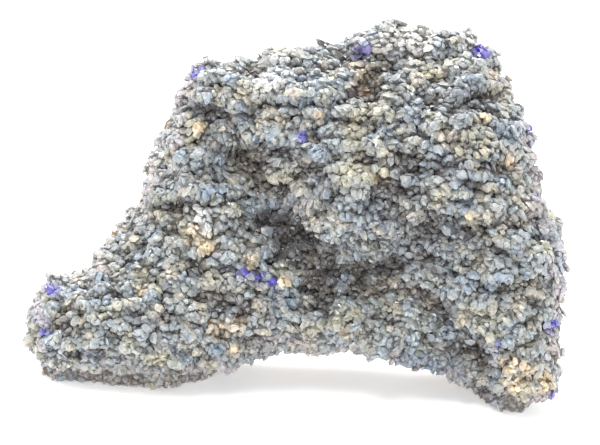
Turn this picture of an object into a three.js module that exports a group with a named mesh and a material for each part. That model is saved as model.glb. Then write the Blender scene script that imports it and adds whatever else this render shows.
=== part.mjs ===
// An azurite specimen: a lump of limonitic host rock whose face, top and sides are grown over
// with a druse of small lens-shaped azurite crystals. Its back and its two feet are bare rock.
//
// The shape is worked out in the frame of the crystal face: ACROSS to the right, UP the face and
// OUT of it. The face then leans back, and the rock is cut flat where its two feet rest.
// Finished frame, in millimetres: +X right, +Y to the back, +Z up, the origin under the middle.
import * as THREE from "three";

// ---- Driving dimensions, in millimetres and degrees ----
const LEAN = 16; // the crystal face leans back from upright by this angle
const TURN = 6; // the right side stands nearer to the front by this angle
const FACE_DEPTH = 11; // from the widest outline to the face, before its relief
const BACK_DEPTH = 12.5; // from the widest outline to the broken back
const FACE_ROUNDING = 10; // how far the face blends into the sides
const BACK_ROUNDING = 6; // the same at the back
const SIDE_BULGE = 0.011; // the sides draw in by this times the square of the depth
const GROUND = -20.9; // height of the resting plane above the middle of the face
const CRUST = 2.7; // thickness of the druse of crystals
const CRUST_LIP = 0.6; // its thickness along its border
const GAP = 0.35; // clearance between the druse and the rock under it
const EDGE_WANDER = 1.5; // the druse's back edge wanders by this times the undulation
const CRUST_WRAP = 4; // how far the druse reaches behind the widest outline
const CRUST_FOOT = 1.1; // the druse stops this far above the lower edge of the outline
const CELL = 2.9; // side of the cells that the surface is faceted with

// The outline of the specimen, seen square on to its face: [across, up] from the middle,
// clockwise from its upper left shoulder.
const OUTLINE = [
  [-18, 26], [-14, 27.5], [-11, 28.5], [-6.5, 29.5], [0, 30.5], [3, 31], [4.5, 30.3],
  [6, 31.5], [7.5, 33.5], [10, 34.5], [18.5, 33.6], [24, 32.5], [26.5, 31.5], [28, 30],
  [28.5, 27], [29.5, 24], [31.5, 21.5], [33, 19], [33.2, 10], [36.5, 6], [36.5, 4],
  [39, -1], [37.6, -5.5], [38.6, -11], [37.5, -19.5], [37, -23], [35.5, -24],
  [32.5, -24], [29.5, -22.6], [23.7, -22.2], [23, -20], [19.5, -18.3], [10.5, -17],
  [7.5, -16], [3.5, -15.5], [0.5, -15.5], [-2.5, -16.2], [-5, -17.5], [-13.5, -20.6],
  [-21.5, -22.2], [-36.5, -22.4], [-39, -21.5], [-42.5, -18.5], [-42, -14], [-40.5, -7],
  [-39, -6], [-34.5, -6], [-32, -3.5], [-31.6, -1.2], [-28.5, 2], [-25, 8], [-23.6, 14],
  [-23.5, 17], [-20.5, 21.5],
];

// Swells of the face: where, how far they reach across and up, and how high they stand.
const FACE_SWELLS = [
  { name: "upper dome", at: [14, 11], reach: [17, 13], height: 7.5 },
  { name: "right shoulder", at: [25, -3], reach: [11, 9], height: 4 },
  { name: "left block", at: [-16, 14], reach: [7, 11], height: 2.5 },
  { name: "left lobe", at: [-25, -12], reach: [15, 8], height: 6 },
  { name: "ridge over the arch", at: [4, -12], reach: [11, 4], height: 4 },
  { name: "right foot", at: [32, -17], reach: [7, 8], height: 4 },
  { name: "set-back top boss", at: [20, 30], reach: [13, 5], height: -3.5 },
];

// Troughs of the face: the points each one runs through, its half width and its depth.
const FACE_TROUGHS = [
  { name: "long valley", half: 4, depth: 6.5,
    through: [[-13, 15], [-8, 9], [-3, 2], [3, -5.5], [10.5, -5.5]] },
  { name: "valley to the right foot", half: 3, depth: 5,
    through: [[10.5, -5.5], [18.5, -10.5], [22.5, -15.5], [25, -21]] },
  { name: "branch under the dome", half: 3, depth: 4, through: [[10.5, -5.5], [17, -2], [21, 2]] },
  { name: "slot in the left block", half: 2, depth: 2.5, through: [[-19.5, 20], [-10, 18]] },
  { name: "notch below the boss", half: 2.2, depth: 3, through: [[4.5, 31], [5.5, 27], [8, 24]] },
];

// Swells of the broken back.
const BACK_SWELLS = [
  { name: "high back", at: [8, 10], reach: [15, 13], height: 4.5 },
  { name: "lobe back", at: [-24, -14], reach: [13, 7], height: 2.5 },
  { name: "foot back", at: [30, -16], reach: [8, 9], height: 2 },
  { name: "hollow over the arch", at: [3, -17], reach: [12, 6], height: -8 },
];

// Long swells of the whole surface: how many radians each turns per millimetre, and its height.
const UNDULATIONS = [
  { turn: [0.52, 0.31, 0.4], phase: 0.4, height: 0.5 },
  { turn: [-0.37, 0.58, 0.22], phase: 2.1, height: 0.45 },
  { turn: [0.81, -0.44, 0.65], phase: 4.0, height: 0.3 },
  { turn: [0.28, 0.93, -0.71], phase: 1.3, height: 0.3 },
];

// ---- The solid as a field: negative inside, and about the distance to the surface ----

const clamp01 = (value) => Math.min(1, Math.max(0, value));

// The larger of a and b, with the crease between them rounded over a width.
function roundedMax(a, b, width) {
  const share = Math.max(width - Math.abs(a - b), 0) / width;
  return Math.max(a, b) + (share * share * width) / 4;
}

function distanceToSegment(across, up, [ax, ay], [bx, by]) {
  const lengthSquared = (bx - ax) ** 2 + (by - ay) ** 2;
  const share = clamp01(((across - ax) * (bx - ax) + (up - ay) * (by - ay)) / lengthSquared);
  return Math.hypot(across - ax - share * (bx - ax), up - ay - share * (by - ay));
}

// Distance from the outline, negative inside it.
function outlineDistance(across, up) {
  let nearest = Infinity;
  let inside = false;
  OUTLINE.forEach((a, i) => {
    const b = OUTLINE[(i + 1) % OUTLINE.length];
    nearest = Math.min(nearest, distanceToSegment(across, up, a, b));
    const crosses = a[1] > up !== b[1] > up;
    if (crosses && across < a[0] + ((up - a[1]) * (b[0] - a[0])) / (b[1] - a[1])) inside = !inside;
  });
  return inside ? -nearest : nearest;
}

function swellHeight(swells, across, up) {
  return swells.reduce((sum, { at, reach, height }) => {
    const share = ((across - at[0]) / reach[0]) ** 2 + ((up - at[1]) / reach[1]) ** 2;
    return sum + height * Math.exp(-share);
  }, 0);
}

function troughDepth(troughs, across, up) {
  return troughs.reduce((deepest, { through, half, depth }) => {
    let nearest = Infinity;
    for (let i = 1; i < through.length; i++)
      nearest = Math.min(nearest, distanceToSegment(across, up, through[i - 1], through[i]));
    return Math.max(deepest, depth * Math.exp(-((nearest / half) ** 2)));
  }, 0);
}

function undulation(across, up, out) {
  return UNDULATIONS.reduce(
    (sum, { turn, phase, height }) =>
      sum + height * Math.sin(turn[0] * across + turn[1] * up + turn[2] * out + phase),
    0,
  );
}

const turnSlope = Math.tan(THREE.MathUtils.degToRad(TURN));
const cosLean = Math.cos(THREE.MathUtils.degToRad(LEAN));
const sinLean = Math.sin(THREE.MathUtils.degToRad(LEAN));

// How far a point stands out of the plane of the widest outline.
const outOfRim = (across, out) => out - turnSlope * across;

function specimenField(across, up, out) {
  const depth = outOfRim(across, out);
  const side = outlineDistance(across, up) + SIDE_BULGE * depth * depth;
  const relief = swellHeight(FACE_SWELLS, across, up) - troughDepth(FACE_TROUGHS, across, up);
  const backHeight = BACK_DEPTH + swellHeight(BACK_SWELLS, across, up);
  const faced = roundedMax(side, depth - FACE_DEPTH - relief, FACE_ROUNDING);
  return roundedMax(faced, -depth - backHeight, BACK_ROUNDING) + undulation(across, up, out);
}

// How far inside the border of the druse a point lies: in front of the back edge, above the foot.
function coveredBy(across, up, out) {
  const wrapped = outOfRim(across, out) + CRUST_WRAP;
  const lifted = up * cosLean + out * sinLean - GROUND - CRUST_FOOT;
  return Math.min(wrapped, lifted) + EDGE_WANDER * undulation(across, up, out);
}

// The same fields at a point of the leaning specimen, which is cut flat at the resting plane.
const onFace = (field, { x, y, z }) => field(x, y * sinLean + z * cosLean, z * sinLean - y * cosLean);
const specimenAt = (point) => Math.max(onFace(specimenField, point), GROUND - point.z);

// ---- The surface: one vertex in each cell that it crosses ----

const LOW = [-47.5, -33, GROUND - 1.5 * CELL]; // the lowest corner of the cells
const HIGH = [43, 30, 43];
const POINTS = LOW.map((low, axis) => Math.ceil((HIGH[axis] - low) / CELL) + 1);
const STRIDE = [1, POINTS[0], POINTS[0] * POINTS[1]];
const AXES = [0, 1, 2];
const CORNERS = [0, 1, 2, 3, 4, 5, 6, 7].map((corner) => AXES.map((axis) => (corner >> axis) & 1));
const gridPoint = (i, j, k) => new THREE.Vector3(LOW[0] + i * CELL, LOW[1] + j * CELL, LOW[2] + k * CELL);
const gridIndex = (i, j, k) => i + j * STRIDE[1] + k * STRIDE[2];

function forEachCell(visit, beyond = 0) {
  for (let k = 0; k < POINTS[2] - 1 + beyond; k++)
    for (let j = 0; j < POINTS[1] - 1 + beyond; j++)
      for (let i = 0; i < POINTS[0] - 1 + beyond; i++) visit(i, j, k);
}

// The mean of the places where the surface crosses the edges of the cell at i, j, k, or null.
function crossing(values, i, j, k) {
  const sum = new THREE.Vector3();
  let found = 0;
  for (const corner of CORNERS)
    for (const axis of AXES) {
      if (corner[axis]) continue;
      const start = gridIndex(i + corner[0], j + corner[1], k + corner[2]);
      const [from, to] = [values[start], values[start + STRIDE[axis]]];
      if (from < 0 === to < 0) continue;
      const share = AXES.map((a) => corner[a] + (a === axis ? from / (from - to) : 0));
      sum.add(new THREE.Vector3(...share));
      found += 1;
    }
  return found ? gridPoint(i, j, k).addScaledVector(sum, CELL / found) : null;
}

// Where the corners of a side of a cell lie inside and outside by turns, two parts of the surface
// would touch along an edge. There the outer corner nearer to the surface is taken inside.
function joinTouching(values) {
  let joined = 0;
  forEachCell((i, j, k) => {
    const cell = gridIndex(i, j, k);
    for (const axis of AXES) {
      const [b, c] = [STRIDE[(axis + 1) % 3], STRIDE[(axis + 2) % 3]];
      const outer = [cell, cell + b, cell + b + c, cell + c].filter((point) => values[point] >= 0);
      const apart = Math.abs(outer[1] - outer[0]);
      if (outer.length !== 2 || (apart !== b + c && apart !== Math.abs(b - c))) continue;
      const nearer = values[outer[0]] < values[outer[1]] ? outer[0] : outer[1];
      values[nearer] *= -1;
      joined += 1;
    }
  });
  if (joined) joinTouching(values);
}

// The surface where a field is zero: its vertices, and its four-sided faces turned outwards.
function surfaceOf(fieldAt) {
  const values = new Float64Array(POINTS[0] * POINTS[1] * POINTS[2]);
  forEachCell((i, j, k) => (values[gridIndex(i, j, k)] = fieldAt(gridPoint(i, j, k))), 1);
  joinTouching(values);
  const vertices = [];
  const faces = [];
  const vertexIn = new Map();
  forEachCell((i, j, k) => {
    const vertex = crossing(values, i, j, k);
    if (!vertex) return;
    const cell = gridIndex(i, j, k);
    vertexIn.set(cell, vertices.length);
    vertices.push(vertex);
    for (const axis of AXES) {
      const inside = values[cell] < 0;
      if (inside === values[cell + STRIDE[axis]] < 0) continue;
      const [b, c] = [STRIDE[(axis + 1) % 3], STRIDE[(axis + 2) % 3]];
      const face = [cell, cell - b, cell - b - c, cell - c].map((around) => vertexIn.get(around));
      faces.push(inside ? face : face.reverse());
    }
  });
  return { vertices, faces };
}

// ---- The two pieces ----

const EVENING_ROUNDS = 8; // for the directions in which the druse's thickness is measured

const { vertices, faces } = surfaceOf(specimenAt);
const inFrom = vertices.map((vertex) => onFace(coveredBy, vertex));
const grownFaces = faces.filter((face) => face.every((index) => inFrom[index] > 0));
const grownVertices = new Set(grownFaces.flat());

// The two triangles of a four-sided face, cut along its shorter diagonal.
function cutInTwo([a, b, c, d]) {
  const shorterAC = vertices[a].distanceTo(vertices[c]) < vertices[b].distanceTo(vertices[d]);
  return shorterAC ? [[a, b, c], [a, c, d]] : [[a, b, d], [b, c, d]];
}

// How thick the druse is at a vertex: a thin lip at its border, and its full depth inside.
const crustAt = (index) =>
  THREE.MathUtils.lerp(CRUST_LIP, CRUST, THREE.MathUtils.smoothstep(inFrom[index], 0, 2 * CELL));

const neighboursOf = vertices.map(() => new Set());
for (const face of faces)
  face.forEach((index, i) => {
    const next = face[(i + 1) % face.length];
    neighboursOf[index].add(next);
    neighboursOf[next].add(index);
  });

// The outward direction at each vertex, evened out with its neighbours' so that it turns slowly.
function outwards() {
  const normal = geometryOf(vertices, faces.flatMap(cutInTwo)).getAttribute("normal");
  let directions = vertices.map((_, i) => new THREE.Vector3().fromBufferAttribute(normal, i));
  for (let round = 0; round < EVENING_ROUNDS; round++)
    directions = directions.map((direction, i) => {
      const sum = direction.clone();
      for (const neighbour of neighboursOf[i]) sum.add(directions[neighbour]);
      return sum.normalize();
    });
  return directions;
}

const outward = outwards();

// The vertices, moved in by the thickness of the druse and a clearance where it covers them.
const underDruse = (clearance) => vertices.map((vertex, i) =>
  grownVertices.has(i) ? vertex.clone().addScaledVector(outward[i], -crustAt(i) - clearance) : vertex);

// The edges that only one of the triangles has, each as [from, to].
function borderOf(triangles) {
  const key = (from, to) => `${from} ${to}`;
  const edges = triangles.flatMap(([a, b, c]) => [[a, b], [b, c], [c, a]]);
  const found = new Set(edges.map(([from, to]) => key(from, to)));
  return edges.filter(([from, to]) => !found.has(key(to, from)));
}

// The druse: its outer side, the same triangles at the parting turned round, and the lip between.
function druseGeometry() {
  const under = (index) => index + vertices.length;
  const outside = grownFaces.flatMap(cutInTwo);
  const underside = outside.map(([a, b, c]) => [under(c), under(b), under(a)]);
  const lip = borderOf(outside).flatMap(([from, to]) =>
    [[to, from, under(from)], [to, under(from), under(to)]]);
  return geometryOf([...vertices, ...underDruse(0)], [...outside, ...underside, ...lip]);
}

// The rock: the whole surface, moved in under the druse.
const rockGeometry = () => geometryOf(underDruse(GAP), faces.flatMap(cutInTwo));

// A geometry of the triangles, with only the points that they use, in the same order.
function geometryOf(points, triangles) {
  const used = [...new Set(triangles.flat())].sort((a, b) => a - b);
  const placeOf = new Map(used.map((index, place) => [index, place]));
  const geometry = new THREE.BufferGeometry().setFromPoints(used.map((index) => points[index]));
  geometry.setIndex(triangles.flat().map((index) => placeOf.get(index)));
  geometry.computeVertexNormals();
  return geometry;
}

const LIMONITE = new THREE.MeshStandardMaterial({ color: 0x7d6a52, roughness: 0.95, metalness: 0 });
const AZURITE = new THREE.MeshStandardMaterial({ color: 0x8c989d, roughness: 0.55, metalness: 0 });

const rock = new THREE.Mesh(rockGeometry(), LIMONITE);
rock.name = "host_rock";
const druse = new THREE.Mesh(druseGeometry(), AZURITE);
druse.name = "azurite_druse";

// The origin goes to the middle of the specimen's box, on the resting plane.
const middle = new THREE.Box3().setFromPoints(vertices).getCenter(new THREE.Vector3());
const specimen = new THREE.Group();
specimen.add(rock, druse);
specimen.position.set(-middle.x, -middle.y, -GROUND);

export default specimen;
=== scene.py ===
"""The looks of an azurite specimen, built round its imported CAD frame.

The two CAD solids are copied into one fine lump of rock with the relief of a broken, crusted
surface. About twenty thousand plate-shaped crystals are then grown over the part that the druse
covers. Everything is in metres, in the frame of the CAD: +X right, +Y to the back, +Z up.
"""

import math

import bmesh
import bpy
import numpy as np
from mathutils import Matrix, Vector, noise
from mathutils.bvhtree import BVHTree
from mathutils.kdtree import KDTree


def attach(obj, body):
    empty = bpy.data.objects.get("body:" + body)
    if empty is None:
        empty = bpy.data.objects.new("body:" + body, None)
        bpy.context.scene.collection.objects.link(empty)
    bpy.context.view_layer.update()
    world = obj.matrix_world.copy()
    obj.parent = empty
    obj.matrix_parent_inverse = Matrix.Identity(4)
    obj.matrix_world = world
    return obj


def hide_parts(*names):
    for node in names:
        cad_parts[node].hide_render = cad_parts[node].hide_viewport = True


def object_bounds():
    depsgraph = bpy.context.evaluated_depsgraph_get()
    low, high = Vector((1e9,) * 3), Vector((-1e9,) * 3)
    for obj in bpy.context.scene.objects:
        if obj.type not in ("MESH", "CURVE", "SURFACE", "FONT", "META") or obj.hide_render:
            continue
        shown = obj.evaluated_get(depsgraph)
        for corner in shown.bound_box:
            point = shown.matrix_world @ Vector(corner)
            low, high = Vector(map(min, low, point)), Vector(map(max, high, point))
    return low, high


MM = 0.001
SEED = 20  # of all that is random

# ---- The face of the specimen ----
LEAN = math.radians(16)  # the crystal face leans back by this angle
UP = np.array((0.0, math.sin(LEAN), math.cos(LEAN)))
OUT = np.array((0.0, -math.cos(LEAN), math.sin(LEAN)))

# How far the skin must face a way for something to begin and to be whole, as cosines.
FACING_RELIEF = (0.1, 0.5)  # out: it has the hollows and crevices of the face
FACING_FRONT = (-0.3, 0.2)  # out: stray crystals reach further
FACING_NO_DUST_HAZE = (0.0, 0.75)  # out: it has no dust and no painted haze
FACING_LEVEL = (0.2, 0.7)  # up: it has the most dust and painted haze
FACING_FLANK = (0.55, 0.9)  # left, right or down: a flank or the underside

# ---- The fine lump ----
VOXEL = 0.45 * MM
EVENING_ROUNDS = 20  # they take the facets off the CAD solids
FOOT_FLAT = 0.35 * MM  # below this height the lump keeps the flat of its feet
FOOT_END = 1.4 * MM  # and above this one it has its full relief

CRUST_START = 0.8 * MM  # the crystals begin where the druse stands this far off the rock
CRUST_FULL = 2.0 * MM  # and are at their thickest where it stands this far off
CRUST_WANDER = 0.35 * MM  # how unevenly they begin,
CRUST_WANDER_SIZE = 3 * MM  # in patches of this size
CRUST_LEAST = 0.08  # the skin is under the druse where the crust has this share of its thickness
CRUST_INSET = 0.8 * MM  # under the crystals the lump lies this far inside the CAD solid
STRAY_REACH = 4.0 * MM  # stray crystals grow on the bare rock this far past the druse,
STRAY_WANDER = 6.0 * MM  # more or less this much
STRAY_WANDER_SIZE = 2.5 * MM  # in patches of this size,
FRONT_REACH = 4.0 * MM  # and this much further where the rock faces the same way as the druse

# The crust is broken into blocks of three sizes: their size and the height of their steps.
BLOCKS = [(6.2 * MM, 1.2 * MM), (3.1 * MM, 0.9 * MM), (1.7 * MM, 0.65 * MM)]
CLUMP_SIZE = 1.7 * MM  # the crystals of a block of this size lie nearly parallel
BLOCK_SQUASH = 0.5  # blocks are wider than tall by this share
BLOCK_WANDER = 0.35  # how far their borders stray, as a share of their size
BLOCK_STEP = 0.45  # how much the blocks differ in height
BLOCK_OVERHANG = 1.3  # how far a block leans out at its foot
CRACK_DEPTH = 0.9
CRACK_WIDTH = 0.22  # as a share of the block's size
BLOCKS_ON_FLANKS = 0.6  # how high the steps are on the flanks and underneath, as a share
CRUST_SWELL = 0.5 * MM  # how far the crust swells and sinks,
CRUST_SWELL_SIZE = 4 * MM  # in lumps of this size
DEEP_START = 0.3 * MM  # a place this far below the mean of the crust begins to count as deep, and is darkened with painted shade
DEEP_FULL = 2.0 * MM  # and one this far below it is at its deepest, with the darkest painted shade

# The bare rock is broken along faces of three sizes: their size and the height of their steps.
FRACTURES = [(11 * MM, 1.3 * MM), (4.6 * MM, 0.6 * MM), (2.0 * MM, 0.28 * MM)]
FRACTURE_WANDER = 0.12  # how far their borders stray, as a share of their size
FRACTURE_STEP = 0.4  # how much the broken faces differ in height
FRACTURE_SLOPE = 1.6  # how much they slope
BARE_INSET = 0.9 * MM  # how far the broken rock lies inside the CAD solid, on the mean
BARE_GRAIN = 0.15 * MM  # how high the grain on them is,
BARE_GRAIN_SIZE = 1.0 * MM  # in lumps of this size
BARE_UNDER_STRAY = 0.3  # how high the steps are under stray crystals, as a share
HEIGHT_REACH = 1.3 * MM  # bare rock this far above its mean has its strongest painted highlight, and this far below it its darkest painted shade
DUST_HAZE_ON_STEEP = 0.3  # the dust and painted haze on steep places, as a share of that on level ones

# Hollows in the face: [across, up] as shares of the face, then radius and depth in millimetres.
HOLLOWS = [
    ((0.281, 0.455), 2.0, 1.6),
    ((0.327, 0.315), 1.6, 1.4),
    ((0.379, 0.125), 1.3, 1.3),
    ((0.437, 0.120), 1.2, 1.3),
    ((0.496, 0.112), 1.2, 1.2),
    ((0.075, 0.125), 1.6, 1.2),
    ((0.174, 0.244), 1.4, 1.1),
    ((0.231, 0.178), 1.5, 1.2),
    ((0.674, 0.517), 1.8, 1.2),
    ((0.733, 0.780), 2.4, 1.2),
    ((0.621, 0.802), 2.6, 1.6),
    ((0.486, 0.405), 2.8, 1.8),
]

# Crevices in the face: the places they run through, then half width and depth in millimetres.
CREVICES = [
    ([(0.279, 0.735), (0.336, 0.710), (0.401, 0.703)], 1.1, 1.7),
    ([(0.205, 0.369), (0.228, 0.321), (0.253, 0.275)], 1.0, 1.3),
    ([(0.319, 0.238), (0.375, 0.213), (0.431, 0.202)], 1.0, 1.5),
    ([(0.421, 0.627), (0.478, 0.594), (0.534, 0.564)], 1.1, 1.4),
    ([(0.570, 0.607), (0.645, 0.589), (0.719, 0.574), (0.794, 0.542), (0.869, 0.513)], 1.0, 1.3),
    ([(0.384, 0.611), (0.427, 0.526), (0.486, 0.405), (0.550, 0.263)], 1.5, 1.6),
    ([(0.550, 0.290), (0.660, 0.310), (0.745, 0.414)], 1.5, 1.7),
    ([(0.660, 0.310), (0.763, 0.187), (0.836, 0.060)], 1.3, 1.5),
]

# ---- The crystals ----
SIDES = 6
# Radius, half thickness and lift off the rock lie between two values in millimetres, the tilt is
# in degrees, and the last value is the share of the deepest cracks that stays bare.
LAYERS = [
    {"spacing": 0.94 * MM, "radius": (0.60, 1.08), "half": (0.20, 0.40), "lift": (0.0, 0.3),
     "tilt": 15, "bare_in_cracks": 0.6},
    {"spacing": 0.66 * MM, "radius": (0.50, 0.84), "half": (0.20, 0.40), "lift": (-0.15, 0.15),
     "tilt": 22, "bare_in_cracks": 0.0},
]
CANDIDATES = 7  # spots tried for each square of the spacing
CLUMP_LEAN = 0.6  # how far a clump of crystals leans from the surface
UPWARD = 0.15  # how much all of them face up the slope
EDGE_ON_SHARE = 0.1  # of the crystals stand on edge,
EDGE_ON_TILT = (1.0, 1.5)  # tilted by an angle between these, in radians,
EDGE_ON_SUNK = 0.35  # and sunk by this share of their radius
STRAY_SIZE = 0.62  # the size of stray crystals, as a share of the size of the others
FLATTER_ON_FLANKS = 0.8  # on the flanks and the underside they lie flatter by this share
CLUMP_TONE = 0.35  # how far the tone of a crystal strays with its clump
OWN_TONE = 0.15  # and on its own

# The outline of a plate: how far its corners wander round it, in radians, how far out they lie,
# how much narrower it is than long, and how far its corners wander in height.
CORNER_TURN = 0.16
CORNER_REACH = (0.8, 1.1)
PLATE_WIDTH = (0.76, 1.0)
CORNER_HEIGHT = 0.16
RINGS = [  # share of the radius, share of the half thickness, and how light it is painted there: a painted highlight on the rim, painted shade on the lower cap
    (0.58, 1.0, 0.55),
    (1.0, 0.1, 1.0),
    (0.62, -1.0, 0.0),
]

# Patches of the face where the crystals differ: [across, up] as shares of the face, then the
# reach in millimetres. The dark blue patches are a deeper grey blue, laid partly as painted
# shade over the darker parts of the face; the pale ones are nearly white, laid partly as a
# painted highlight along the top edge.
PATCH_DEPTH = 3  # they reach this many times as far into the depth as along the face
PATCH_FADE = (0.35, 1.1)  # where they begin to fade and where they end, as shares of their reach
ROYAL_BLUE = [
    ((0.300, 0.825), 1.8), ((0.314, 0.845), 1.2), ((0.605, 0.892), 1.7), ((0.819, 0.908), 1.6),
    ((0.505, 0.660), 1.1), ((0.925, 0.656), 1.2), ((0.917, 0.702), 1.0), ((0.924, 0.535), 1.2),
    ((0.103, 0.290), 0.9), ((0.051, 0.117), 1.0), ((0.053, 0.054), 0.9), ((0.061, 0.238), 1.8),
    ((0.409, 0.297), 1.0), ((0.435, 0.287), 1.3), ((0.461, 0.272), 1.0), ((0.964, 0.186), 1.7),
    ((0.992, 0.165), 1.6), ((0.972, 0.000), 1.5), ((0.858, 0.131), 0.9),
]
OCHRE = [
    ((0.596, 0.853), 1.6), ((0.615, 0.818), 2.0), ((0.534, 0.710), 1.2), ((0.820, 0.724), 1.5),
    ((0.867, 0.853), 1.3), ((0.844, 0.849), 1.2), ((0.640, 0.556), 1.4), ((0.869, 0.606), 1.2),
    ((0.805, 0.466), 1.2), ((0.313, 0.396), 1.8), ((0.342, 0.368), 2.0), ((0.421, 0.325), 1.3),
    ((0.483, 0.282), 1.2), ((0.228, 0.241), 1.3), ((0.318, 0.677), 1.5), ((0.369, 0.144), 2.2),
    ((0.401, 0.165), 1.8), ((0.395, 0.088), 1.6), ((0.742, 0.235), 1.5), ((0.588, 0.147), 1.5),
    ((0.881, 0.091), 2.4), ((0.908, 0.062), 2.6), ((0.890, 0.020), 2.6), ((0.950, 0.040), 2.4),
]
DARK_BLUE_AND_SHADE = [
    ((0.735, 0.394), 6.0), ((0.640, 0.350), 5.5), ((0.530, 0.530), 5.0), ((0.800, 0.763), 5.5),
    ((0.660, 0.790), 4.0), ((0.748, 0.207), 4.0), ((0.800, 0.070), 4.5), ((0.480, 0.610), 3.8),
    ((0.530, 0.930), 3.5), ((0.280, 0.742), 2.8), ((0.690, 0.570), 3.5),
]
# The pale patches are partly pale crystals and partly a painted highlight along the top edge.
PALE_AND_HIGHLIGHT = [
    ((0.700, 0.950), 5.5), ((0.830, 0.940), 5.5), ((0.440, 0.830), 4.5), ((0.330, 0.427), 3.5),
]

# ---- Stage, light and camera ----
FLOOR_HALF = 1.5
FLOOR_GLOW = 0.4  # the floor is lit from below, like a light table
ROOM_GLOW = 0.88
SOFTBOXES = [  # name, width and height, watts, place
    ("key_light", (0.2, 0.2), 2.3, (-0.12, -0.35, 0.55)),
    ("top_light", (0.6, 0.4), 7.7, (0.0, 0.18, 0.6)),
    ("fill_light", (0.6, 0.25), 2.0, (0.0, -0.6, 0.1)),
    ("left_light", (0.3, 0.4), 1.0, (-0.5, 0.05, 0.25)),
    ("right_light", (0.3, 0.4), 0.7, (0.5, 0.05, 0.25)),
]
CAMERA_DISTANCE = 0.30
CAMERA_ROLL = math.radians(2)
VIEW_WIDTH = 89.2 * MM  # what the camera sees at the aim
SENSOR_WIDTH = 36
AIM_SHARES = (0.506, 0.54, 0.443)  # of the specimen's box


# ---------------------------------------------------------------- the face and noise


def smooth_share(value, start, end):
    """0 at the start, 1 at the end, and smooth between them."""
    share = np.clip((value - start) / (end - start), 0, 1)
    return share * share * (3 - 2 * share)


def distance_to_line(places, line):
    """Distance of each place from a line that runs through several."""
    nearest = np.full(len(places), np.inf)
    for start, end in zip(line, line[1:]):
        along = end - start
        share = np.clip((places - start) @ along / (along @ along), 0, 1)
        apart = np.linalg.norm(places - start - share[:, None] * along, axis=1)
        nearest = np.minimum(nearest, apart)
    return nearest


class Face:
    """The crystal face. Its places are in metres, across and up from the box's lower left."""

    def __init__(self, low, high):
        self.low = low
        self.high = high

    def places_of(self, points):
        return np.stack((points[:, 0] - self.low.x, points @ UP - self.low.z), axis=1)

    def place_at(self, shares):
        return np.array(shares) * (self.high.x - self.low.x, self.high.z - self.low.z)

    def patch_weight(self, points, patches):
        """1 in the middle of a patch, falling to 0 a little past its reach.

        The middle of a patch is as far out as the foremost of the points that it reaches.
        """
        places = self.places_of(points)
        behind = -(points @ OUT)
        weight = np.zeros(len(points))
        for shares, reach in patches:
            apart = np.linalg.norm(places - self.place_at(shares), axis=1)
            foremost = behind[apart <= max(reach * MM, apart.min())].min()
            apart = np.hypot(apart, (behind - foremost) / PATCH_DEPTH)
            here = 1 - smooth_share(apart / (reach * MM), *PATCH_FADE)
            weight = np.maximum(weight, here)
        return weight

    def relief_depth(self, points, normals):
        """How deep the hollows and crevices are at each point."""
        places = self.places_of(points)
        depth = np.zeros(len(points))
        for shares, reach, deep in HOLLOWS:
            apart = np.linalg.norm(places - self.place_at(shares), axis=1)
            depth += deep * MM * np.exp(-((apart / (reach * MM)) ** 2))
        for line, half, deep in CREVICES:
            apart = distance_to_line(places, [self.place_at(shares) for shares in line])
            depth += deep * MM * np.exp(-((apart / (half * MM)) ** 2))
        return depth * smooth_share(normals @ OUT, *FACING_RELIEF)


def noise_at(points, size, shift=0.0):
    """Smooth noise from -1 to 1 whose lumps are about the size."""
    offset = Vector((shift, shift, shift))
    return np.array([noise.noise(Vector(point) / size + offset) for point in points])


def block_at(point, size):
    """The block of about the size that holds a point.

    Gives the middle of the block, the point seen from there in blocks, and how near the border is.
    """
    place = Vector(point + BLOCK_SQUASH * (point @ UP) * UP) / size
    place += BLOCK_WANDER * noise.noise_vector(place)
    distances, middles = noise.voronoi(place)
    return middles[0], place - middles[0], distances[1] - distances[0]


def blocks_at(points, size):
    """How far a crust broken into blocks of about the size rises at each point, about -1 to 1.

    Each block has a height of its own, leans out at its foot over the block below it, and has
    a crack round it.
    """
    rise = np.empty(len(points))
    border = np.empty(len(points))
    for i, point in enumerate(points):
        middle, from_middle, border[i] = block_at(point, size)
        rise[i] = BLOCK_STEP * noise.cell(middle) - BLOCK_OVERHANG * (from_middle @ Vector(UP))
    return rise - CRACK_DEPTH * (1 - smooth_share(border, 0, CRACK_WIDTH))


def clumps_at(points):
    """The lean and the tone, from -1 to 1, of the clump of crystals at each point."""
    middles = [block_at(point, CLUMP_SIZE)[0] for point in points]
    lean = np.array([noise.cell_vector(middle) for middle in middles])
    tone = np.array([noise.cell(middle + Vector((5, 0, 0))) for middle in middles])
    return lean, tone


def fractures_at(points, size):
    """How far rock that broke along flat faces of about the size rises, about -1 to 1."""
    rise = np.empty(len(points))
    for i, point in enumerate(points):
        place = Vector(point) / size
        place += FRACTURE_WANDER * noise.noise_vector(2 * place)
        middle = noise.voronoi(place)[1][0]
        slope = (place - middle) @ noise.cell_vector(middle)
        rise[i] = FRACTURE_STEP * noise.cell(middle) + FRACTURE_SLOPE * slope
    return rise


# ---------------------------------------------------------------- meshes as arrays


def vertices_of(mesh):
    values = np.empty(len(mesh.vertices) * 3, np.float32)
    mesh.vertices.foreach_get("co", values)
    return values.reshape(-1, 3).astype(float)


def normals_of(mesh):
    values = np.empty(len(mesh.vertices) * 3, np.float32)
    mesh.vertex_normals.foreach_get("vector", values)
    return values.reshape(-1, 3).astype(float)


def edges_of(mesh):
    values = np.empty(len(mesh.edges) * 2, np.int32)
    mesh.edges.foreach_get("vertices", values)
    return values.reshape(-1, 2)


def triangles_of(mesh):
    mesh.calc_loop_triangles()
    values = np.empty(len(mesh.loop_triangles) * 3, np.int32)
    mesh.loop_triangles.foreach_get("vertices", values)
    return values.reshape(-1, 3)


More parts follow.
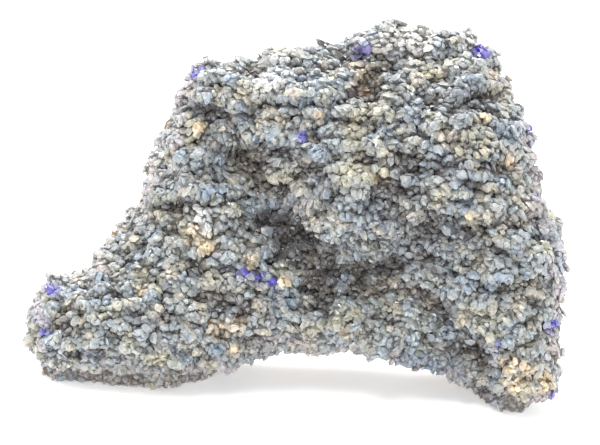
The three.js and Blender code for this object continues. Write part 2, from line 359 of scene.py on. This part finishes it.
def set_vertices(mesh, points):
    mesh.vertices.foreach_set("co", points.astype(np.float32).ravel())
    mesh.update()


def store(mesh, name, values):
    """Keeps one number for each vertex, for the materials to read."""
    attribute = mesh.attributes.new(name, "FLOAT", "POINT")
    attribute.data.foreach_set("value", values.astype(np.float32))


def distance_from(mesh, points):
    """How far each point is from the skin of a mesh."""
    corners = [Vector(corner) for corner in vertices_of(mesh)]
    tree = BVHTree.FromPolygons(corners, triangles_of(mesh).tolist())
    return np.array([tree.find_nearest(Vector(point))[3] for point in points])


def unit(vectors):
    return vectors / np.linalg.norm(vectors, axis=1)[:, None]


# ---------------------------------------------------------------- the fine lump


def joined_solids(nodes):
    """One object with a copy of every solid."""
    solids = bmesh.new()
    for node in nodes:
        solids.from_mesh(node.data)
    bmesh.ops.remove_doubles(solids, verts=solids.verts, dist=0.001 * MM)
    mesh = bpy.data.meshes.new("lump")
    solids.to_mesh(mesh)
    solids.free()
    lump = bpy.data.objects.new("host_rock_surface", mesh)
    bpy.context.scene.collection.objects.link(lump)
    return lump


def remesh(lump):
    """Gives an object one skin of small even cells round all that it holds."""
    modifier = lump.modifiers.new("remesh", "REMESH")
    modifier.mode = "VOXEL"
    modifier.voxel_size = VOXEL
    evaluated = lump.evaluated_get(bpy.context.evaluated_depsgraph_get())
    mesh = bpy.data.meshes.new_from_object(evaluated)
    lump.modifiers.clear()
    lump.data = mesh
    keep_largest(mesh)


def keep_largest(mesh):
    """Drops every loose part but the largest: what the remesh leaves of the gap inside."""
    solid = bmesh.new()
    solid.from_mesh(mesh)
    left = set(solid.verts)
    parts = []
    while left:
        part = [left.pop()]
        for vertex in part:  # the part grows while the loop goes through it
            for edge in vertex.link_edges:
                other = edge.other_vert(vertex)
                if other in left:
                    left.remove(other)
                    part.append(other)
        parts.append(part)
    parts.sort(key=len)
    for part in parts[:-1]:
        bmesh.ops.delete(solid, geom=part, context="VERTS")
    solid.to_mesh(mesh)
    solid.free()


def even_out(mesh, rounds):
    """Moves each vertex half way to the mean of its neighbours, and keeps the feet flat."""
    points = vertices_of(mesh)
    edges = edges_of(mesh)
    around = np.bincount(edges.ravel(), minlength=len(points))[:, None]
    flat = points[:, 2] < FOOT_FLAT
    height = points[flat, 2].copy()
    for _ in range(rounds):
        total = np.zeros_like(points)
        np.add.at(total, edges[:, 0], points[edges[:, 1]])
        np.add.at(total, edges[:, 1], points[edges[:, 0]])
        points = 0.5 * points + 0.5 * total / around
        points[flat, 2] = height
    set_vertices(mesh, points)


def stray_share(crust, off_druse, points, normals):
    """1 under the druse, falling to 0 over the bare rock as far as stray crystals reach."""
    reach = STRAY_REACH + STRAY_WANDER * noise_at(points, STRAY_WANDER_SIZE, shift=11)
    reach += FRONT_REACH * smooth_share(normals @ OUT, *FACING_FRONT)
    outside = np.clip(1 - off_druse / np.maximum(reach, VOXEL), 0, 1)
    return np.where(crust > CRUST_LEAST, 1.0, outside)


def folded_in(points, face):
    """The points, with those that stick out of the box as far inside it as they were outside."""
    low, high = np.array(face.low), np.array(face.high)
    points = high - np.abs(high - points)
    return low + np.abs(points - low)


def make_lump(nodes, face):
    """The rock, bare or under the crystals, and its skin: what each vertex of it is like."""
    lump = joined_solids(nodes.values())
    remesh(lump)
    mesh = lump.data
    even_out(mesh, EVENING_ROUNDS)
    points, normals = vertices_of(mesh), normals_of(mesh)
    flank = smooth_share(np.maximum(np.abs(normals[:, 0]), -normals[:, 2]), *FACING_FLANK)
    # Dust, with a painted pale haze as well: more where the skin turns away from the face, most on
    # level places. It is partly a painted highlight on the tops and flanks.
    dust_and_painted_haze = 1 - smooth_share(normals @ OUT, *FACING_NO_DUST_HAZE)
    level = smooth_share(normals[:, 2], *FACING_LEVEL)
    dust_and_painted_haze *= DUST_HAZE_ON_STEEP + (1 - DUST_HAZE_ON_STEEP) * level

    off_rock = distance_from(nodes["host_rock"].data, points)
    off_rock += CRUST_WANDER * noise_at(points, CRUST_WANDER_SIZE)
    crust = smooth_share(off_rock, CRUST_START, CRUST_FULL)
    off_druse = distance_from(nodes["azurite_druse"].data, points)
    stray = stray_share(crust, off_druse, points, normals)

    blocks = sum(height * blocks_at(points, size) for size, height in BLOCKS)
    blocks += CRUST_SWELL * noise_at(points, CRUST_SWELL_SIZE)
    blocks -= face.relief_depth(points, normals)
    blocks *= 1 - (1 - BLOCKS_ON_FLANKS) * flank
    broken = sum(height * fractures_at(points, size) for size, height in FRACTURES)
    broken += BARE_GRAIN * noise_at(points, BARE_GRAIN_SIZE, shift=9)
    bare_rise = broken * (1 - (1 - BARE_UNDER_STRAY) * stray) - BARE_INSET * (1 + stray)
    rise = crust * (blocks - CRUST_INSET) + (1 - crust) * bare_rise
    rise *= smooth_share(points[:, 2], FOOT_FLAT, FOOT_END)
    set_vertices(mesh, folded_in(points + normals * rise[:, None], face))

    lean, tone = clumps_at(points)
    skin = {
        "crust": crust,
        "stray": stray,
        "deep": smooth_share(-blocks, DEEP_START, DEEP_FULL),
        "height": smooth_share(broken, -HEIGHT_REACH, HEIGHT_REACH),
        "ochre": face.patch_weight(points, OCHRE),
        "flank": flank,
        "dust_and_painted_haze": dust_and_painted_haze,
        "lean": lean,
        "tone": tone,
    }
    for name in ("crust", "stray", "deep", "height", "ochre"):
        store(mesh, name, skin[name])
    return lump, skin


# ---------------------------------------------------------------- the crystals


def scattered(mesh, skin, spacing, rng):
    """Spots all over the crusted skin, none nearer to another than the spacing.

    Each has its place, the way it faces, and all that the skin holds there.
    """
    triangles = triangles_of(mesh)
    points = vertices_of(mesh)
    a, b, c = (points[triangles[:, k]] for k in range(3))
    area = np.linalg.norm(np.cross(b - a, c - a), axis=1) / 2
    area *= skin["stray"][triangles].max(axis=1) > 0
    count = int(CANDIDATES * area.sum() / spacing**2)
    corners = triangles[rng.choice(len(triangles), count, p=area / area.sum())]
    first = np.sqrt(rng.random(count))
    second = rng.random(count)
    weights = np.stack((1 - first, first * (1 - second), first * second), axis=1)
    places = np.einsum("nk,nkd->nd", weights, points[corners])

    tree = KDTree(count)
    for i, place in enumerate(places):
        tree.insert(place, i)
    tree.balance()
    taken = np.zeros(count, bool)
    kept = []
    for i in range(count):
        if taken[i]:
            continue
        kept.append(i)
        for _, other, _ in tree.find_range(places[i], spacing):
            taken[other] = True

    weights, corners = weights[kept], corners[kept]
    spots = {
        name: np.einsum("nk,nk...->n...", weights, values[corners])
        for name, values in skin.items()
    }
    spots["place"] = places[kept]
    spots["facing"] = unit(np.einsum("nk,nkd->nd", weights, normals_of(mesh)[corners]))
    return spots


def tilted(facing, angles, rng):
    """The directions turned by the angles, each to a side at random."""
    aside = unit(np.cross(facing, rng.normal(size=facing.shape)))
    return np.cos(angles)[:, None] * facing + np.sin(angles)[:, None] * aside


def plates(centres, axes, radii, halves, rng):
    """The corners of closed plates with an irregular outline: two flat caps and a sharp rim."""
    count = len(centres)
    side = unit(np.cross(axes, rng.normal(size=axes.shape)))
    other = np.cross(axes, side)
    turn = np.linspace(0, 2 * math.pi, SIDES, endpoint=False)
    turn = turn + rng.normal(0, CORNER_TURN, (count, SIDES))
    reach = radii[:, None] * rng.uniform(*CORNER_REACH, (count, SIDES))
    along = reach * np.cos(turn)
    across = reach * np.sin(turn) * rng.uniform(*PLATE_WIDTH, (count, 1))
    outline = along[..., None] * side[:, None] + across[..., None] * other[:, None]
    rings = []
    for share, height, _ in RINGS:
        heights = (height + rng.normal(0, CORNER_HEIGHT, (count, SIDES))) * halves[:, None]
        rings.append(centres[:, None] + share * outline + heights[..., None] * axes[:, None])
    return np.concatenate(rings, axis=1)


def plate_triangles():
    """The triangles of one plate, over its upper cap, its rim and its lower cap."""
    upper, rim, lower = 0, SIDES, 2 * SIDES
    triangles = []
    for i in range(SIDES):
        j = (i + 1) % SIDES
        triangles += [(upper + i, rim + i, rim + j), (upper + i, rim + j, upper + j)]
        triangles += [(rim + i, lower + i, lower + j), (rim + i, lower + j, rim + j)]
    for i in range(1, SIDES - 1):
        triangles += [(upper, upper + i, upper + i + 1), (lower, lower + i + 1, lower + i)]
    return np.array(triangles)


def grow_layer(mesh, skin, layer, rng):
    """The corners of one layer of crystals, and the spots that they grow on."""
    spots = scattered(mesh, skin, layer["spacing"], rng)
    chance = np.sqrt(spots["stray"]) * (1 - layer["bare_in_cracks"] * spots["deep"])
    grows = rng.random(len(chance)) < chance
    spots = {name: values[grows] for name, values in spots.items()}
    count = len(spots["place"])

    angles = np.abs(rng.normal(0, math.radians(layer["tilt"]), count))
    on_edge = rng.random(count) < EDGE_ON_SHARE
    angles[on_edge] = rng.uniform(*EDGE_ON_TILT, on_edge.sum())
    angles *= 1 - FLATTER_ON_FLANKS * spots["flank"]
    clump_axes = unit(spots["facing"] + UPWARD * UP + CLUMP_LEAN * spots["lean"])
    axes = tilted(clump_axes, angles, rng)

    grown = STRAY_SIZE + (1 - STRAY_SIZE) * (0.5 * spots["stray"] + 0.5 * spots["crust"])
    radii = grown * rng.uniform(*layer["radius"], count) * MM
    halves = rng.uniform(*layer["half"], count) * MM
    lift = rng.uniform(*layer["lift"], count) * MM - EDGE_ON_SUNK * on_edge * radii
    centres = spots["place"] + spots["facing"] * lift[:, None]
    return plates(centres, axes, radii, halves, rng), spots


def kept_inside(crystals, face):
    """Moves each crystal that reaches out of the box back until it touches the box's side."""
    over = np.maximum(crystals.max(axis=1) - np.array(face.high), 0)
    under = np.maximum(np.array(face.low) - crystals.min(axis=1), 0)
    return crystals + (under - over)[:, None]


def looks_of(crystals, spots, face, rng):
    """What the material reads from each crystal, by name."""
    count = len(crystals)
    centres = crystals.mean(axis=1)

    def patchy(patches, least):
        return face.patch_weight(centres, patches) * rng.uniform(least, 1, count)

    return {
        "tint": 0.5 + CLUMP_TONE * spots["tone"] + OWN_TONE * rng.uniform(-1, 1, count),
        "gloss": rng.random(count),
        "blue": patchy(ROYAL_BLUE, least=0.9),
        "ochre": patchy(OCHRE, least=0.3),
        "dark": patchy(DARK_BLUE_AND_SHADE, least=0.6),
        "deep": spots["deep"],
        "flank": spots["flank"],
        "dust_and_painted_haze": spots["dust_and_painted_haze"],
        "pale": patchy(PALE_AND_HIGHLIGHT, least=0.6),
    }


def make_crystals(lump, skin, face, material):
    """The druse, in pieces from left to right."""
    rng = np.random.default_rng(SEED)
    layers = [grow_layer(lump.data, skin, layer, rng) for layer in LAYERS]
    crystals = kept_inside(np.concatenate([corners for corners, _ in layers]), face)
    spots = {name: np.concatenate([spots[name] for _, spots in layers]) for name in layers[0][1]}
    looks = looks_of(crystals, spots, face, rng)
    # How light each corner of a plate is painted: a painted highlight on the rim, painted shade on
    # the lower cap.
    rim_highlight_foot_shade = np.repeat([rim_highlight_foot_shade for _, _, rim_highlight_foot_shade in RINGS], SIDES)

    names = ["crystals_left", "crystals_mid_left", "crystals_mid_right", "crystals_right"]
    across = crystals[..., 0].mean(axis=1)
    borders = np.quantile(across, np.linspace(0, 1, len(names) + 1)[1:-1])
    region = np.searchsorted(borders, across)
    for number, name in enumerate(names):
        mine = region == number
        starts = np.arange(mine.sum()) * len(rim_highlight_foot_shade)
        triangles = (plate_triangles()[None] + starts[:, None, None]).reshape(-1, 3)
        mesh = bpy.data.meshes.new(name)
        mesh.from_pydata(crystals[mine].reshape(-1, 3), [], triangles)
        for look, values in looks.items():
            store(mesh, look, np.repeat(values[mine], len(rim_highlight_foot_shade)))
        store(mesh, "rim_highlight_foot_shade", np.tile(rim_highlight_foot_shade, mine.sum()))
        mesh.materials.append(material)
        piece = bpy.data.objects.new(name, mesh)
        bpy.context.scene.collection.objects.link(piece)
        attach(piece, "root")
    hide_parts("azurite_druse")


# ---------------------------------------------------------------- materials


# A Mix node has sockets of the same names for numbers and for colours. These are for colours.
MIX_FIRST_COLOR = 6
MIX_SECOND_COLOR = 7
MIX_RESULT_COLOR = 2


def display_color(red, green, blue):
    """A colour as a screen names it, 0 to 255, in the light values that a material takes."""
    shares = [value / 255 for value in (red, green, blue)]
    light = [s / 12.92 if s <= 0.04045 else ((s + 0.055) / 1.055) ** 2.4 for s in shares]
    return (*light, 1)


class Nodes:
    """The node tree of a new material, with a shorter way to add its nodes and links."""

    def __init__(self, name):
        self.material = bpy.data.materials.new(name)
        self.material.use_nodes = True
        self.tree = self.material.node_tree
        self.tree.nodes.clear()

    def add(self, kind, inputs=None, **settings):
        node = self.tree.nodes.new(kind)
        for name, value in settings.items():
            setattr(node, name, value)
        for name, value in (inputs or {}).items():
            self.feed(node.inputs[name], value)
        return node

    def feed(self, socket, value):
        if isinstance(value, bpy.types.NodeSocket):
            self.tree.links.new(value, socket)
        else:
            socket.default_value = value

    def attribute(self, name, share=1.0):
        """What the mesh keeps under the name, times the share."""
        value = self.add("ShaderNodeAttribute", attribute_name=name).outputs["Fac"]
        return value if share == 1.0 else self.math("MULTIPLY", value, share)

    def noise(self, size, detail=4.0, roughness=0.6, shift=0.0):
        """Noise from 0 to 1 whose lumps are about the size."""
        place = self.add("ShaderNodeTexCoord").outputs["Object"]
        if shift:
            offset = {0: place, 1: (shift, shift, shift)}
            place = self.add("ShaderNodeVectorMath", offset, operation="ADD").outputs["Vector"]
        settings = {"Vector": place, "Scale": 1 / size, "Detail": detail, "Roughness": roughness}
        return self.add("ShaderNodeTexNoise", settings).outputs["Fac"]

    def map(self, share, from_low, from_high, to_low, to_high):
        settings = {"Value": share, "From Min": from_low, "From Max": from_high,
                    "To Min": to_low, "To Max": to_high}
        return self.add("ShaderNodeMapRange", settings).outputs["Result"]

    def patches(self, size, start, full, amount, detail=4.0, roughness=0.6, shift=0.0):
        """0 where the noise is below the start, the amount where it is above full."""
        return self.map(self.noise(size, detail, roughness, shift), start, full, 0.0, amount)

    def ramp(self, share, stops, interpolation="EASE"):
        node = self.add("ShaderNodeValToRGB", {"Fac": share})
        ramp = node.color_ramp
        ramp.interpolation = interpolation
        while len(ramp.elements) < len(stops):
            ramp.elements.new(0.5)
        for element, (position, color) in zip(ramp.elements, stops):
            element.position = position
            element.color = color
        return node.outputs["Color"]

    def math(self, operation, first, second):
        node = self.add("ShaderNodeMath", operation=operation)
        self.feed(node.inputs[0], first)
        self.feed(node.inputs[1], second)
        return node.outputs["Value"]

    def mix(self, share, first, second, blend="MIX"):
        node = self.add("ShaderNodeMix", data_type="RGBA", blend_type=blend)
        self.feed(node.inputs["Factor"], share)
        self.feed(node.inputs[MIX_FIRST_COLOR], first)
        self.feed(node.inputs[MIX_SECOND_COLOR], second)
        return node.outputs[MIX_RESULT_COLOR]

    def times(self, color, factor):
        return self.mix(1.0, color, factor, "MULTIPLY")

    def bump(self, height, distance, strength=1.0, normal=None):
        settings = {"Height": height, "Distance": distance, "Strength": strength}
        node = self.add("ShaderNodeBump", settings)
        if normal is not None:
            self.feed(node.inputs["Normal"], normal)
        return node.outputs["Normal"]

    def surface(self, **inputs):
        """The principled surface that ends the material. Inputs are named with _ for a space."""
        shader = self.add("ShaderNodeBsdfPrincipled")
        for name, value in inputs.items():
            self.feed(shader.inputs[name.replace("_", " ")], value)
        output = self.add("ShaderNodeOutputMaterial")
        self.tree.links.new(shader.outputs["BSDF"], output.inputs["Surface"])
        return self.material


def azurite_material():
    """Dull grey-blue plates, some greenish or buff, a few royal blue or rusty, a few glossy."""
    n = Nodes("azurite")
    clouds = n.map(n.noise(3 * MM, 3), 0.32, 0.68, 0.0, 0.4)
    color = n.ramp(n.math("ADD", n.attribute("tint", 0.6), clouds), [
        (0.00, display_color(99, 111, 122)),
        (0.30, display_color(129, 136, 138)),
        (0.55, display_color(117, 120, 118)),
        (0.72, display_color(152, 146, 131)),
        (0.86, display_color(120, 112, 114)),
        (1.00, display_color(178, 174, 163)),
    ])
    bluish = n.patches(5 * MM, 0.46, 0.64, 0.7, detail=3, shift=0.7)
    color = n.mix(bluish, color, display_color(102, 120, 140))
    olive = n.patches(5 * MM, 0.50, 0.66, 0.6, detail=2, shift=0.3)
    color = n.mix(olive, color, display_color(146, 140, 110))
    # Darker grey-blue patches, partly natural colour and partly painted shade over the darker
    # parts of the face.
    color = n.mix(n.attribute("dark", 0.7), color, display_color(84, 92, 103))
    mauve = n.math("MULTIPLY", n.attribute("flank"), n.patches(3 * MM, 0.42, 0.6, 0.6))
    color = n.mix(mauve, color, display_color(146, 136, 148))
    # Dust, with a painted pale haze on the tops and flanks that acts as a painted highlight.
    color = n.mix(n.attribute("dust_and_painted_haze", 0.4), color, display_color(176, 173, 168))
    # Near-white patches: partly pale crystals, and partly a painted highlight along the top edge.
    color = n.mix(n.attribute("pale", 0.6), color, display_color(196, 195, 194))
    mottle = n.ramp(n.noise(0.6 * MM, 3, 0.7), [
        (0.36, (0.66, 0.66, 0.67, 1)),
        (0.64, (1.21, 1.19, 1.16, 1)),
    ])
    color = n.times(color, mottle)
    ochre = n.ramp(n.noise(0.9 * MM), [
        (0.38, display_color(142, 112, 76)),
        (0.52, display_color(198, 172, 124)),
        (0.66, display_color(234, 222, 186)),
    ])
    color = n.mix(n.attribute("ochre", 0.8), color, ochre)
    royal_blue = n.ramp(n.noise(0.7 * MM), [
        (0.35, display_color(22, 10, 102)),
        (0.65, display_color(50, 32, 168)),
    ])
    color = n.mix(n.attribute("blue"), color, royal_blue)
    # Crystals in the depths are darkened: painted shade.
    color = n.mix(n.attribute("deep", 0.85), color, display_color(66, 60, 58))
    # Each plate is painted lighter at its rim and darker at its lower cap: a painted highlight and
    # painted shade.
    plate_light_and_shade = n.ramp(n.attribute("rim_highlight_foot_shade"), [
        (0.0, (0.84, 0.83, 0.83, 1)),
        (0.5, (1.0, 1.0, 1.0, 1)),
        (1.0, (1.08, 1.08, 1.08, 1)),
    ], interpolation="LINEAR")
    return n.surface(
        Base_Color=n.times(color, plate_light_and_shade),
        Roughness=n.map(n.attribute("gloss"), 0.78, 0.95, 0.6, 0.2),
        Normal=n.bump(n.noise(0.22 * MM), 0.06 * MM, 0.6),
        IOR=1.75,
        Sheen_Weight=0.15,
        Sheen_Roughness=0.4,
        Coat_Weight=0.15,
        Coat_IOR=1.75,
        Coat_Roughness=0.12,
    )


def limonite_material():
    """Earthy brown rock with rusty, dark and pale patches, and what shows between the crystals."""
    n = Nodes("limonite")
    rock = n.ramp(n.noise(3 * MM, 8, 0.7), [
        (0.32, display_color(72, 58, 48)),
        (0.46, display_color(106, 88, 68)),
        (0.58, display_color(132, 112, 86)),
        (0.70, display_color(160, 143, 116)),
    ])
    rust = n.ramp(n.noise(1.2 * MM, 5), [
        (0.40, display_color(88, 62, 44)),
        (0.65, display_color(154, 122, 84)),
    ])
    rock = n.mix(n.patches(8 * MM, 0.50, 0.60, 0.7), rock, rust)
    dark = n.patches(5 * MM, 0.54, 0.62, 0.8, detail=6, roughness=0.7, shift=0.2)
    rock = n.mix(dark, rock, display_color(62, 52, 46))
    pale = n.patches(4 * MM, 0.56, 0.66, 0.7, detail=6, roughness=0.75, shift=0.5)
    rock = n.mix(pale, rock, display_color(186, 176, 156))
    # Painted shade in the low places of the broken rock, and a painted highlight on the high ones.
    relief_light_and_shade = n.ramp(n.attribute("height"), [
        (0.15, (0.42, 0.40, 0.38, 1)),
        (0.50, (0.90, 0.90, 0.90, 1)),
        (0.90, (1.30, 1.28, 1.25, 1)),
    ])
    rock = n.times(rock, relief_light_and_shade)

    # A grey film of crystals too small to see lies round the druse.
    film = n.ramp(n.noise(1.2 * MM, 5), [
        (0.35, display_color(92, 88, 86)),
        (0.65, display_color(142, 138, 132)),
    ])
    wander = n.map(n.noise(1.5 * MM, 5), 0.3, 0.7, -0.35, 0.35)
    filmed = n.map(n.math("ADD", n.attribute("stray"), wander), 0.25, 0.6, 0.0, 0.85)
    rock = n.mix(filmed, rock, film)

    # Under the crystals the rock is grey, darkened in the depths with painted shade, and rusty in
    # the ochre patches.
    bed = n.mix(n.attribute("deep"), display_color(104, 104, 106), display_color(56, 44, 46))
    bed = n.mix(n.attribute("ochre", 0.8), bed, rust)
    grain = n.bump(n.noise(0.3 * MM, 6, 0.75), 0.25 * MM)
    return n.surface(
        Base_Color=n.mix(n.map(n.attribute("crust"), 0.0, 0.25, 0.0, 1.0), rock, bed),
        Roughness=n.map(n.noise(1 * MM), 0.3, 0.7, 0.75, 1.0),
        Normal=n.bump(n.noise(1.1 * MM, 5, 0.7), 0.5 * MM, 0.7, grain),
    )


def paper_material():
    """White paper on a light table."""
    return Nodes("paper").surface(
        Base_Color=(0.9, 0.9, 0.9, 1),
        Roughness=0.9,
        Emission_Color=(1, 1, 1, 1),
        Emission_Strength=FLOOR_GLOW,
    )


# ---------------------------------------------------------------- stage, light and camera


def make_floor():
    corners = [(x, y, 0) for x, y in ((-1, -1), (1, -1), (1, 1), (-1, 1))]
    mesh = bpy.data.meshes.new("floor")
    mesh.from_pydata(FLOOR_HALF * np.array(corners), [], [(0, 1, 2, 3)])
    mesh.materials.append(paper_material())
    floor = bpy.data.objects.new("floor", mesh)
    bpy.context.scene.collection.objects.link(floor)


def add_softbox(name, size, power, place, aim):
    light = bpy.data.lights.new(name, "AREA")
    light.shape = "RECTANGLE"
    light.size, light.size_y = size
    light.energy = power
    softbox = bpy.data.objects.new(name, light)
    softbox.location = place
    softbox.rotation_euler = (aim - Vector(place)).to_track_quat("-Z", "Y").to_euler()
    bpy.context.scene.collection.objects.link(softbox)


def light_scene(middle):
    """A white room, and softboxes above, in front and at both sides."""
    world = bpy.data.worlds.new("studio")
    world.use_nodes = True
    background = world.node_tree.nodes["Background"]
    background.inputs["Color"].default_value = (1, 1, 1, 1)
    background.inputs["Strength"].default_value = ROOM_GLOW
    bpy.context.scene.world = world
    for name, size, power, place in SOFTBOXES:
        add_softbox(name, size, power, place, middle)


def make_camera(low, high):
    """Square on to the face, and turned a little about its own axis."""
    aim = Vector([a + share * (b - a) for a, b, share in zip(low, high, AIM_SHARES)])
    camera = bpy.data.objects.new("camera", bpy.data.cameras.new("camera"))
    camera.data.sensor_width = SENSOR_WIDTH
    camera.data.lens = SENSOR_WIDTH * CAMERA_DISTANCE / VIEW_WIDTH
    place = Matrix.Translation(aim + CAMERA_DISTANCE * Vector(OUT))
    pitch = Matrix.Rotation(math.pi / 2 - LEAN, 4, "X")
    camera.matrix_world = place @ pitch @ Matrix.Rotation(CAMERA_ROLL, 4, "Z")
    bpy.context.scene.collection.objects.link(camera)
    bpy.context.scene.camera = camera


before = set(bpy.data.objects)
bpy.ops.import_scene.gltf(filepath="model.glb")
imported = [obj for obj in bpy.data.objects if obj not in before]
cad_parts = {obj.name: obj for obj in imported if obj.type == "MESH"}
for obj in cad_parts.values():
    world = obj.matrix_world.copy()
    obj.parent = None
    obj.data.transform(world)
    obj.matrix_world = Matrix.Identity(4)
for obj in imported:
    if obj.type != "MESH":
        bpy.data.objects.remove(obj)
cad_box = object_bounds()
noise.seed_set(SEED)  # the noise vectors would else follow the clock
crystal_face = Face(*cad_box)

rock_surface, rock_skin = make_lump(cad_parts, crystal_face)
rock_surface.data.materials.append(limonite_material())
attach(rock_surface, "root")
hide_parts("host_rock")
make_crystals(rock_surface, rock_skin, crystal_face, azurite_material())

make_floor()
light_scene((cad_box[0] + cad_box[1]) / 2)
make_camera(*cad_box)
bpy.context.scene.view_settings.view_transform = "Standard"
